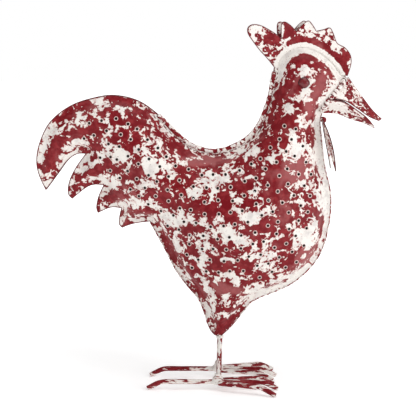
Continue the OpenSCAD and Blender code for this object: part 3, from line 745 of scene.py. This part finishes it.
# %% Cut and lean the comb sheets
REAR_LOBE = fit([[61, 300], [54.5, 308], [47.5, 315.5], [41, 324], [36.5, 331], [36.5, 336.5], [41, 339.5],
    [49, 338.5], [58.5, 333.5], [64.5, 329.5]])
SECOND_LOBE = fit([[67.5, 326.5], [67, 339], [70.5, 342], [76.5, 338.5], [81.5, 333]])
THIRD_LOBE = fit([[81.5, 333], [86, 338.5], [92, 343], [96.5, 339], [100, 333.5]])
FRONT_LOBES = fit([[100, 333.5], [107, 335], [112.5, 336.5], [116, 331], [119.5, 322.5], [126.5, 318.5],
    [131.5, 312.5], [133, 306], [132, 299.5], [129.5, 292]])
COMB_LAP = 3.4
COMB_SHEET = 0.8
comb_paint = distressed("comb_paint", red=-0.01, size=11, rim=1.2, dirt=0.25, shift=90)


def comb_sheet(name, side, node, shift_back):
    """A filled outline, lifted by the flange and a lean that grows with the height over the head."""
    back = np.array([shift_back * STRETCH[0], 0])
    lobes = np.vstack([smooth(REAR_LOBE, 4), smooth(SECOND_LOBE, 4) - back, smooth(THIRD_LOBE, 4) - back,
        smooth(FRONT_LOBES, 4, closed_end=True)])
    base = sideways(smooth(HEAD_TOP, 4, closed_end=True), COMB_LAP)[::-1]
    loop = np.vstack([lobes, base])
    plan, faces = fill(loop, spacing=1.6, margin=0.6)
    over = distance_to(smooth(HEAD_TOP, 4, closed_end=True), plan, closed=False)
    over = np.where(inside(EDGE, plan), 0, over)
    lean = 0.0035 * over**2 + 0.9 * ease(over / 14) * waves(plan[:, 0] / 14, over / 12, 31 + side)
    points = sided(plan, WALL + COMB_SHEET + np.maximum(lean, -0.3), side)
    arc = ease((over - 0.3) / 1.0) * (1 - ease((over - 5.0) / 2.0)) * ease((plan[:, 0] - 70) / 6)
    red = laid(plan, COMB) + 2.6 * arc - 3.0 * (1 - ease((over - 0.2) / 0.9))
    piece = new_piece(name, points, faces if side < 0 else faces[:, ::-1], [node], "comb_paint",
        red_bias=red * (1 if side < 0 else 0.5), wear=0 * red, edge_mm=distance_to(lobes, plan, closed=False))
    return thicken(piece, COMB_SHEET, [comb_paint, comb_paint, comb_paint])


comb_sheet("right_comb", -1, "right_comb_sheet", 0.0)
comb_sheet("left_comb", 1, "left_comb_sheet", 3.5)

# %% [markdown]
# ## The bill
# Each half of the bill is a sheet folded along its ridge, with its root lapped on the domed head. Along
# the bill the surface shrinks from the head's own section to a point.

# %% Fold the bill
UPPER_RIDGE = fit([[130.3, 291], [137, 282], [146, 270], [154, 260], [162.5, 252]])
UPPER_LIP = fit([[113.5, 272], [127, 269], [140, 260.8], [150, 254], [159.5, 250]])
LOWER_RIDGE = fit([[106, 257.2], [120, 256.5], [133, 251.5], [145, 248], [155.5, 243]])
LOWER_LIP = fit([[113, 271], [127, 268], [139.5, 260], [148, 253.4], [155, 245.6]])
TRIM = 0.8
beak_paint = distressed("beak_paint", red=0.015, size=9, rim=1.5, dirt=0.3, shift=140)


def bill(name, ridge, lip_line, node, flip):
    """Point (u, v): between ridge and lip by |v|, at a half width that falls from the head's to the tip's."""
    u, v = np.meshgrid(np.linspace(0, 1, 41), np.linspace(-1, 1, 33), indexing="ij")
    s = np.abs(v)
    top, low = along(ridge, u), along(lip_line, u)
    place = top + (low - top) * s[..., None]
    start = along(ridge, 0 * u) * (1 - s[..., None]) + along(lip_line, 0 * u) * s[..., None]
    root = rise(start.reshape(-1, 2)).reshape(u.shape) + TRIM
    half = root + (TRIM + 0.9 * s - root) * u**1.4
    half = half * np.minimum(1, (s / 0.14)) ** 0.6 + 0.25 * waves(u * 6, v * 3, 71) * s * (1 - u)
    points = np.stack([place[..., 0], np.sign(v) * half, place[..., 1]], -1).reshape(-1, 3)
    width = np.linalg.norm(low - top, axis=-1)
    edge = np.minimum(np.minimum((1 - s) * width, s * width + 0.8), (1 - u) * 40 + 0.6)
    piece = new_piece(name, points, grid_faces(*u.shape, flip=flip), [node], "beak_paint",
        red_bias=laid(place.reshape(-1, 2), BILL), wear=np.zeros(u.size), edge_mm=edge.ravel())
    return thicken(piece, TRIM, [beak_paint, inside_metal, cut_edge_shade])


bill("upper_bill", UPPER_RIDGE, UPPER_LIP, "upper_beak", flip=True)
bill("lower_bill", LOWER_RIDGE, LOWER_LIP, "lower_beak", flip=False)

# %% [markdown]
# ## Braze
# Braze is melted brass laid over a joint. It freezes in lumps, so each bead is a tube whose radius
# wanders. A wide bead covers the back's seam, and thin ones close the breast and the rump.

# %% Beads and seams
seam_paint = distressed("seam_paint", red=0.02, size=5.0, dirt=0.9, shift=210)


def bead(name, path, radius, node, seed, squash=1.0, lump=0.28, lump_size=3.0, finish=None, edge=FAR):
    """An uneven tube whose crests are rubbed white; edge is the distance to a dark valley, ring by ring."""
    points, faces, crest = tube(path, radius, BEAD_SIDES, lump, lump_size, seed, squash)
    edge = np.repeat(np.broadcast_to(edge, len(path)), BEAD_SIDES)
    piece = new_piece(name, points, faces, [node], "seam_paint",
        red_bias=-3.6 * crest / lump, wear=0 * crest, edge_mm=edge)
    piece.data.materials.append(finish or seam_paint)
    return piece


def even(line, step):
    """The same line with points at equal steps."""
    s = lengths(line)
    t = np.linspace(0, s[-1], max(3, int(s[-1] / step)))
    return np.stack([np.interp(t, s, line[:, c]) for c in range(line.shape[1])], 1)


def in_plane(line):
    """A side-view line laid on the bird's middle plane."""
    return np.stack([line[:, 0], np.zeros(len(line)), line[:, 1]], 1)


back_seam = smooth(BACK, 8)
back_seam = back_seam[(drawn(back_seam)[:, 0] > -48) & (drawn(back_seam)[:, 1] < 298)]
bead("back_seam", in_plane(even(sideways(back_seam, 1.1), 0.8)), 2.4, "back_seam_braze", 3,
    squash=1.05, lump=0.2)
breast_seam = np.vstack([smooth(BREAST, 8), smooth(TIP_FRONT, 8)])
breast_seam = breast_seam[drawn(breast_seam)[:, 1] < 246]
bead("breast_seam", in_plane(even(sideways(breast_seam, 0.3), 1.0)), 0.9, "breast_seam_braze", 7,
    squash=1.6, lump=0.12)
rump_seam = smooth(RUMP, 8)
rump_seam = rump_seam[drawn(rump_seam)[:, 1] > 54]
bead("rump_seam", in_plane(even(sideways(rump_seam, 0.3), 1.0)), 0.9, "rump_seam_braze", 11,
    squash=1.6, lump=0.12)

# %% Beads round the root of the bill
root_line = np.array([UPPER_RIDGE[0], UPPER_LIP[0], LOWER_RIDGE[0]])
root_side = even(along(root_line, np.linspace(0.03, 0.97, 60)), 0.6) - [1.2, 0]
along_root = lengths(root_side)
swell = np.abs(np.sin(along_root * math.pi / 4.3 + 0.6 * np.sin(along_root / 3))) ** 0.8
drop_paint = distressed("drop_paint", red=-0.16, size=4.0, rim=1.75, dirt=0.4, shift=240)
for side, name in ((-1, "right"), (1, "left")):
    ring = np.arange(8) * math.tau / 8
    near = (root_side[:, None] + 1.2 * np.stack([np.cos(ring), np.sin(ring)], 1)).reshape(-1, 2)
    y = side * (np.maximum(rise(near).reshape(-1, 8).max(1), rise(root_side)) + 0.6)
    path = np.stack([root_side[:, 0], y, root_side[:, 1]], 1)
    bead(f"{name}_bill_braze", path, 1.35 + 1.15 * swell, f"{name}_beak_braze", 13 + side,
        lump=0.3, lump_size=2.6, finish=drop_paint, edge=2.4 * swell)

# %% [markdown]
# ## Eyes
# An eye is a rivet whose head was rounded with a hammer, painted dark red and left shiny.

# %% Hammer the eye rivets
EYE = fit([[88, 286.5]])
EYE_R, EYE_RISE = 5.0, 3.1


def shiny_red(name):
    """Dark red gloss, a little cloudy, and near black at the rim as painted shade."""
    f = Finish(name)
    red = f.blend(f.noise(3, 4.0, 0.6).step(0.4, 0.7), EYE_DARK, EYE_LIGHT)
    # Painted shade: a dark ring at the rim, where the rivet's head meets the sheet.
    red = f.blend(f.field("edge_mm").step(0.4, 1.3), EYE_RIM_SHADE, red)
    f.bump(f.noise(1.2, 3.0), 0.05)
    return f.set(Base_Color=red, Roughness=0.3, Coat_Weight=0.12, Coat_Roughness=0.1)


eye_paint = shiny_red("eye_paint")


def eye(name, side, node):
    """Height (1 - q^2.4)^0.8 over a disc pulled to an almond, where q runs from 0 to 1 at the rim."""
    q, w = np.meshgrid(np.linspace(0, 1, 15), np.arange(40) * math.tau / 40, indexing="ij")
    pull = 1 + 0.09 * np.cos(2 * w)
    x, z = EYE[0, 0] + q * EYE_R * pull * np.cos(w), EYE[0, 1] + q * EYE_R / pull * np.sin(w) * 0.97
    ground = rise(np.stack([x.ravel(), z.ravel()], 1)).reshape(q.shape)
    y = side * (ground + EYE_RISE * (1 - q**2.4) ** 0.8 - 0.15)
    points = np.stack([x, y, z], -1).reshape(-1, 3)
    piece = new_piece(name, points, grid_faces(*q.shape, wrap=True, flip=side < 0), [node], "eye_paint",
        edge_mm=EYE_R * (1 - q).ravel())
    piece.data.materials.append(eye_paint)
    return piece


eye("right_eye", -1, "right_eye_rivet")
eye("left_eye", 1, "left_eye_rivet")

# %% [markdown]
# ## Wattles
# Two slender leaves hang from the throat. Each is folded a little along its middle and twisted, so
# from the side it shows as a narrow blade with a dark edge.

# %% Cut and fold the wattles
THROAT = fit([[108, 252]])[0]
WATTLE_LENGTH, WATTLE_HALF = 50.0, 6.2
wattle_paint = distressed("wattle_paint", red=-0.06, size=8, rim=1.1, dirt=0.6, shift=260)


def wattle(name, side, node):
    """Point (u, v): down by u, across by v times a half width that swells and closes, creased at v = 0."""
    u, v = np.meshgrid(np.linspace(0, 1, 41), np.linspace(-1, 1, 13), indexing="ij")
    half = WATTLE_HALF * np.sin(math.pi * np.clip(u, 0.012, 0.988)) ** 0.85
    across = v * half
    fold = 1.1 * np.abs(v) * half / WATTLE_HALF
    turn = np.radians(70 + 8 * u)
    lean = 0.25 if side < 0 else 0.19
    x = THROAT[0] - 1.5 + u * WATTLE_LENGTH * lean + across * np.cos(turn) + fold * np.sin(turn)
    y = WALL + 1.4 + u * WATTLE_LENGTH * 0.2 + across * np.sin(turn) - fold * np.cos(turn)
    z = THROAT[1] - u * WATTLE_LENGTH * 0.965
    points = np.stack([x, side * y, z], -1).reshape(-1, 3)
    edge = (1 - np.abs(v)) * half
    piece = new_piece(name, points, grid_faces(*u.shape, flip=side > 0), [node], "wattle_paint",
        red_bias=np.zeros(u.size), wear=np.zeros(u.size), edge_mm=edge.ravel())
    return thicken(piece, TRIM, [wattle_paint, wattle_paint, cut_edge_shade], outer=0.0)


wattle("right_wattle_leaf", -1, "right_wattle")
wattle("left_wattle_leaf", 1, "left_wattle")
throat_path = np.stack([np.linspace(THROAT[0] - 2.2, THROAT[0] + 1.8, 12), np.zeros(12),
    np.linspace(THROAT[1] + 1.2, THROAT[1] - 3.0, 12)], 1)
bell = 3.0 * np.sin(np.linspace(0.25, math.pi - 0.25, 12)) ** 0.6
bead("throat_bead", throat_path, bell, "throat_braze", 23, lump=0.2)

# %% [markdown]
# ## Legs, feet and welds
# Rods of two sizes are bent, ground flat under their tips and welded at the ankles. Each is a tube
# along its own path. Where a rod lies comes from the boxes of the frame's rods; how far a toe reaches is
# a size of its own.

# %% Bend the rods
leg_paint = distressed("leg_paint", red=0.0, size=13, stretch=(1.6, 1.6, 0.3), dirt=0.5, shift=330)
toe_paint = distressed("toe_paint", red=-0.005, size=13, stretch=(0.3, 1.5, 1.5), dirt=0.5, shift=350)


def rod(name, path, radius, node, seed, finish, streak_and_edge_shade=0.0):
    """A painted rod; the streak amount leaves red along its front and back and rubs the sides between them
    white, which from the side is partly painted shade at the rod's edges.
    """
    points, faces, crest = tube(path, radius, ROD_SIDES, 0.035, 6.0, seed)
    points[:, 2] = np.maximum(points[:, 2], 0)
    middle = np.repeat(np.asarray(path)[:, 0], ROD_SIDES)
    # Red front and back, white sides: partly paint streaks, partly painted shade at the edges of the round
    # rod.
    bias = streak_and_edge_shade * (2.6 * np.abs(points[:, 0] - middle) / np.max(radius) - 2.0)
    piece = new_piece(name, points, faces, [node], "leg_paint",
        red_bias=bias, wear=0 * crest, edge_mm=0 * crest + FAR)
    piece.data.materials.append(finish)
    return piece


def bent(corners, bend_r, step=1.2):
    """A path through corners whose turns are rounded: each corner is cut back and joined by a parabola."""
    corners = np.asarray(corners, float)
    parts = [corners[:1]]
    t = np.linspace(0, 1, 9)[:, None]
    for a, b, c in zip(corners[:-2], corners[1:-1], corners[2:]):
        first = b + (a - b) / np.linalg.norm(a - b) * bend_r
        last = b + (c - b) / np.linalg.norm(c - b) * bend_r
        parts.append(first * (1 - t) ** 2 + b * 2 * t * (1 - t) + last * t**2)
    return even(np.vstack(parts + [corners[-1:]]), step)


toe_low, toe_high = node_box("right_middle_toe")
TOE_R = (toe_high[1] - toe_low[1]) / 2
FOOT_Y = -(toe_high[1] + toe_low[1]) / 2
TOE_Z = toe_high[2] - TOE_R
ANKLE_X = toe_low[0]
print("toe rod radius", round(TOE_R, 2), "foot spacing", round(2 * FOOT_Y, 1))

BODY_BOTTOM = EDGE[:, 1].min()
TIP_RUN = 13.0


def leg(name, side, node):
    """From the strap straight down to the body's bottom, then out to the ankle."""
    knee = [LEG_X, side * (LEG_R + 0.05), BODY_BOTTOM + 1.5]
    ankle = [ANKLE_X, side * FOOT_Y, leg_low[2] - 0.5]
    path = bent([[LEG_X, knee[1], leg_high[2]], knee, ankle], 3.0)
    return rod(name, path, LEG_R, node, 41 + side, leg_paint, streak_and_edge_shade=1.0)


def toe(name, side, node, reach_x, reach_y, start_y):
    """Level from the ankle, then bent down to the ground; reach is where the tip's centre ends."""
    start = np.array([ANKLE_X, side * (FOOT_Y + start_y), TOE_Z])
    way = np.array([reach_x, side * reach_y, 0.0])
    whole = np.linalg.norm(way)
    bend = start + way * (whole - TIP_RUN) / whole
    tip = start + way
    tip[2] = TOE_R * 0.62
    path = bent([start + way / whole * 0.3, bend, tip], 4.5)
    radius = TOE_R * (1 - 0.10 * ease((lengths(path) / lengths(path)[-1] - 0.86) / 0.14))
    return rod(name, path, radius, node, 50 + 3 * side + int(reach_y), toe_paint)


FRONT, BACK_TOE = 56.0, 68.0
INNER = FRONT - 2
OUT_TURN, IN_TURN = math.radians(18), math.radians(13)
PITCH = 2 * TOE_R + 0.05
for side, name in ((-1, "right"), (1, "left")):
    leg(f"{name}_leg_rod", side, f"{name}_leg")
    toe(f"{name}_outer_rod", side, f"{name}_outer_toe",
        FRONT * math.cos(OUT_TURN), FRONT * math.sin(OUT_TURN), PITCH)
    toe(f"{name}_middle_rod", side, f"{name}_middle_toe", FRONT, 0, 0)
    toe(f"{name}_inner_rod", side, f"{name}_inner_toe",
        INNER * math.cos(IN_TURN), -INNER * math.sin(IN_TURN), -PITCH)
    toe(f"{name}_back_rod", side, f"{name}_back_toe", -BACK_TOE, 0, 0)


# %% Weld the ankles and the hip
ANKLE_PROFILE = [[5.5, -1.6], [6.6, 0], [5.6, 2.2], [3.6, 4.8], [2.7, 8.0]]
HIP_PROFILE = [[2.6, -3.6], [3.3, -2.6], [3.5, -1.2], [3.2, -0.2], [2.6, 0.4]]


def weld(name, centre, profile, node, seed, lump=0.12, wide=1.0):
    """A profile of [radius, height] turned about an upright line, uneven, and wide times wider across."""
    rows = smooth(np.array(profile, float), 5, closed_end=True)
    w = np.arange(WELD_SIDES) * math.tau / WELD_SIDES
    r = rows[:, :1] * (1 + lump * waves(rows[:, 1:] / 2.2, 1.5 + 1.5 * np.cos(w), seed)
        + lump * waves(rows[:, 1:] / 2.2, 5.5 + 1.5 * np.sin(w), seed + 1))
    points = np.stack([centre[0] + r * np.cos(w), centre[1] + wide * r * np.sin(w),
        centre[2] + np.broadcast_to(rows[:, 1:], r.shape)], -1).reshape(-1, 3)
    faces = grid_faces(len(rows), WELD_SIDES, wrap=True).tolist()
    last = (len(rows) - 1) * WELD_SIDES
    faces += [list(range(WELD_SIDES))[::-1], list(range(last, last + WELD_SIDES))]
    none = np.zeros(len(points))
    piece = new_piece(name, points, faces, [node], "leg_paint",
        red_bias=none - 1.5, wear=none, edge_mm=none + FAR)
    piece.data.materials.append(toe_paint)
    return piece


for side, name in ((-1, "right"), (1, "left")):
    weld(f"{name}_ankle_bead", [ANKLE_X - 1, side * FOOT_Y, TOE_Z], ANKLE_PROFILE,
        f"{name}_ankle_weld", 61 + side)
weld("hip_bead", [LEG_X, 0, BODY_BOTTOM], HIP_PROFILE, "hip_braze", 67, wide=2.0)

# %% [markdown]
# ## What stays as it is
# The strap that ties the legs inside the body keeps its own solid and only gets a finish.

# %% Finish the hidden strap
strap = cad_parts["leg_cross_strap"]
strap.data.materials.clear()
strap.data.materials.append(bare_metal("strap_steel", (0.16, 0.155, 0.15, 1)))

# %% [markdown]
# ## Floor, light and camera
# The stage is a pale floor under soft studio light: a large key from the front right, a wide soft
# light from above, and a weak fill from the left. The camera looks from a little above.

# %% The stage
WORLD_LIGHT = 0.38
scene = bpy.context.scene
scene.view_settings.view_transform = "Standard"
scene.view_settings.look = "None"


def paper_white(name):
    """White paper that is lit from below away from the figure, so that it stays pale to its far edge."""
    f = Finish(name)
    tint = f.blend(f.noise(60, 3.0).step(0.3, 0.7), (0.9, 0.9, 0.9, 1), (0.88, 0.88, 0.88, 1))
    away = f.node("ShaderNodeVectorMath", {"operation": "LENGTH"}, {0: f.place}).out("Value").step(0.1, 0.9)
    lit = f.blend(away, (0.36, 0.36, 0.36, 1), (1, 1, 1, 1))
    return f.set(Base_Color=tint, Roughness=0.9, Specular_IOR_Level=0.1,
        Emission_Color=lit, Emission_Strength=1.0)


floor_mesh = bpy.data.meshes.new("floor")
REACH = 6.0
corners = [(-REACH, -REACH, 0), (REACH, -REACH, 0), (REACH, REACH, 0), (-REACH, REACH, 0)]
floor_mesh.from_pydata(corners, [], [(0, 1, 2, 3)])
floor = bpy.data.objects.new("floor", floor_mesh)
floor_mesh.materials.append(paper_white("floor_white"))
scene.collection.objects.link(floor)

world = bpy.data.worlds.new("studio")
world.use_nodes = True
tree = world.node_tree
glow = tree.nodes["Background"]
glow.inputs["Color"].default_value = (1, 1, 1, 1)
glow.inputs["Strength"].default_value = WORLD_LIGHT
paper = tree.nodes.new("ShaderNodeBackground")
paper.inputs["Color"].default_value = (1, 1, 1, 1)
paper.inputs["Strength"].default_value = 1.0
pick = tree.nodes.new("ShaderNodeMixShader")
tree.links.new(tree.nodes.new("ShaderNodeLightPath").outputs["Is Camera Ray"], pick.inputs["Fac"])
tree.links.new(glow.outputs[0], pick.inputs[1])
tree.links.new(paper.outputs[0], pick.inputs[2])
tree.links.new(pick.outputs[0], tree.nodes["World Output"].inputs["Surface"])
scene.world = world


def soft_light(name, place, aim, size, power):
    """A square area light at a place in metres, turned to its aim."""
    light = bpy.data.lights.new(name, "AREA")
    light.size, light.energy = size, power
    lamp = bpy.data.objects.new(name, light)
    lamp.location = place
    lamp.rotation_euler = (Vector(aim) - Vector(place)).to_track_quat("-Z", "Y").to_euler()
    scene.collection.objects.link(lamp)


middle = (0, 0, 0.19)
soft_light("key", (1.45, -0.95, 0.9), middle, 0.9, 13)
soft_light("top", (0.1, -0.1, 1.6), middle, 1.4, 10)
soft_light("fill", (-1.2, -1.2, 0.7), middle, 1.0, 2)

# %% The camera
AIM = Vector((-0.0005, 0, 0.172))
DISTANCE, ELEVATION, AZIMUTH = 1.15, math.radians(8.7), math.radians(1.0)
VIEW_MM = 395.2
SENSOR = 36
level_x, level_y = math.sin(AZIMUTH) * math.cos(ELEVATION), -math.cos(AZIMUTH) * math.cos(ELEVATION)
eye_way = Vector((level_x, level_y, math.sin(ELEVATION)))
camera_data = bpy.data.cameras.new("camera")
camera_data.sensor_width = SENSOR
camera_data.lens = SENSOR * DISTANCE / (VIEW_MM * MM)
camera = bpy.data.objects.new("camera", camera_data)
camera.location = AIM + eye_way * DISTANCE
camera.rotation_euler = (-eye_way).to_track_quat("-Z", "Y").to_euler()
scene.collection.objects.link(camera)
scene.camera = camera

# %% Count the pieces
print("pieces made:", len(made))
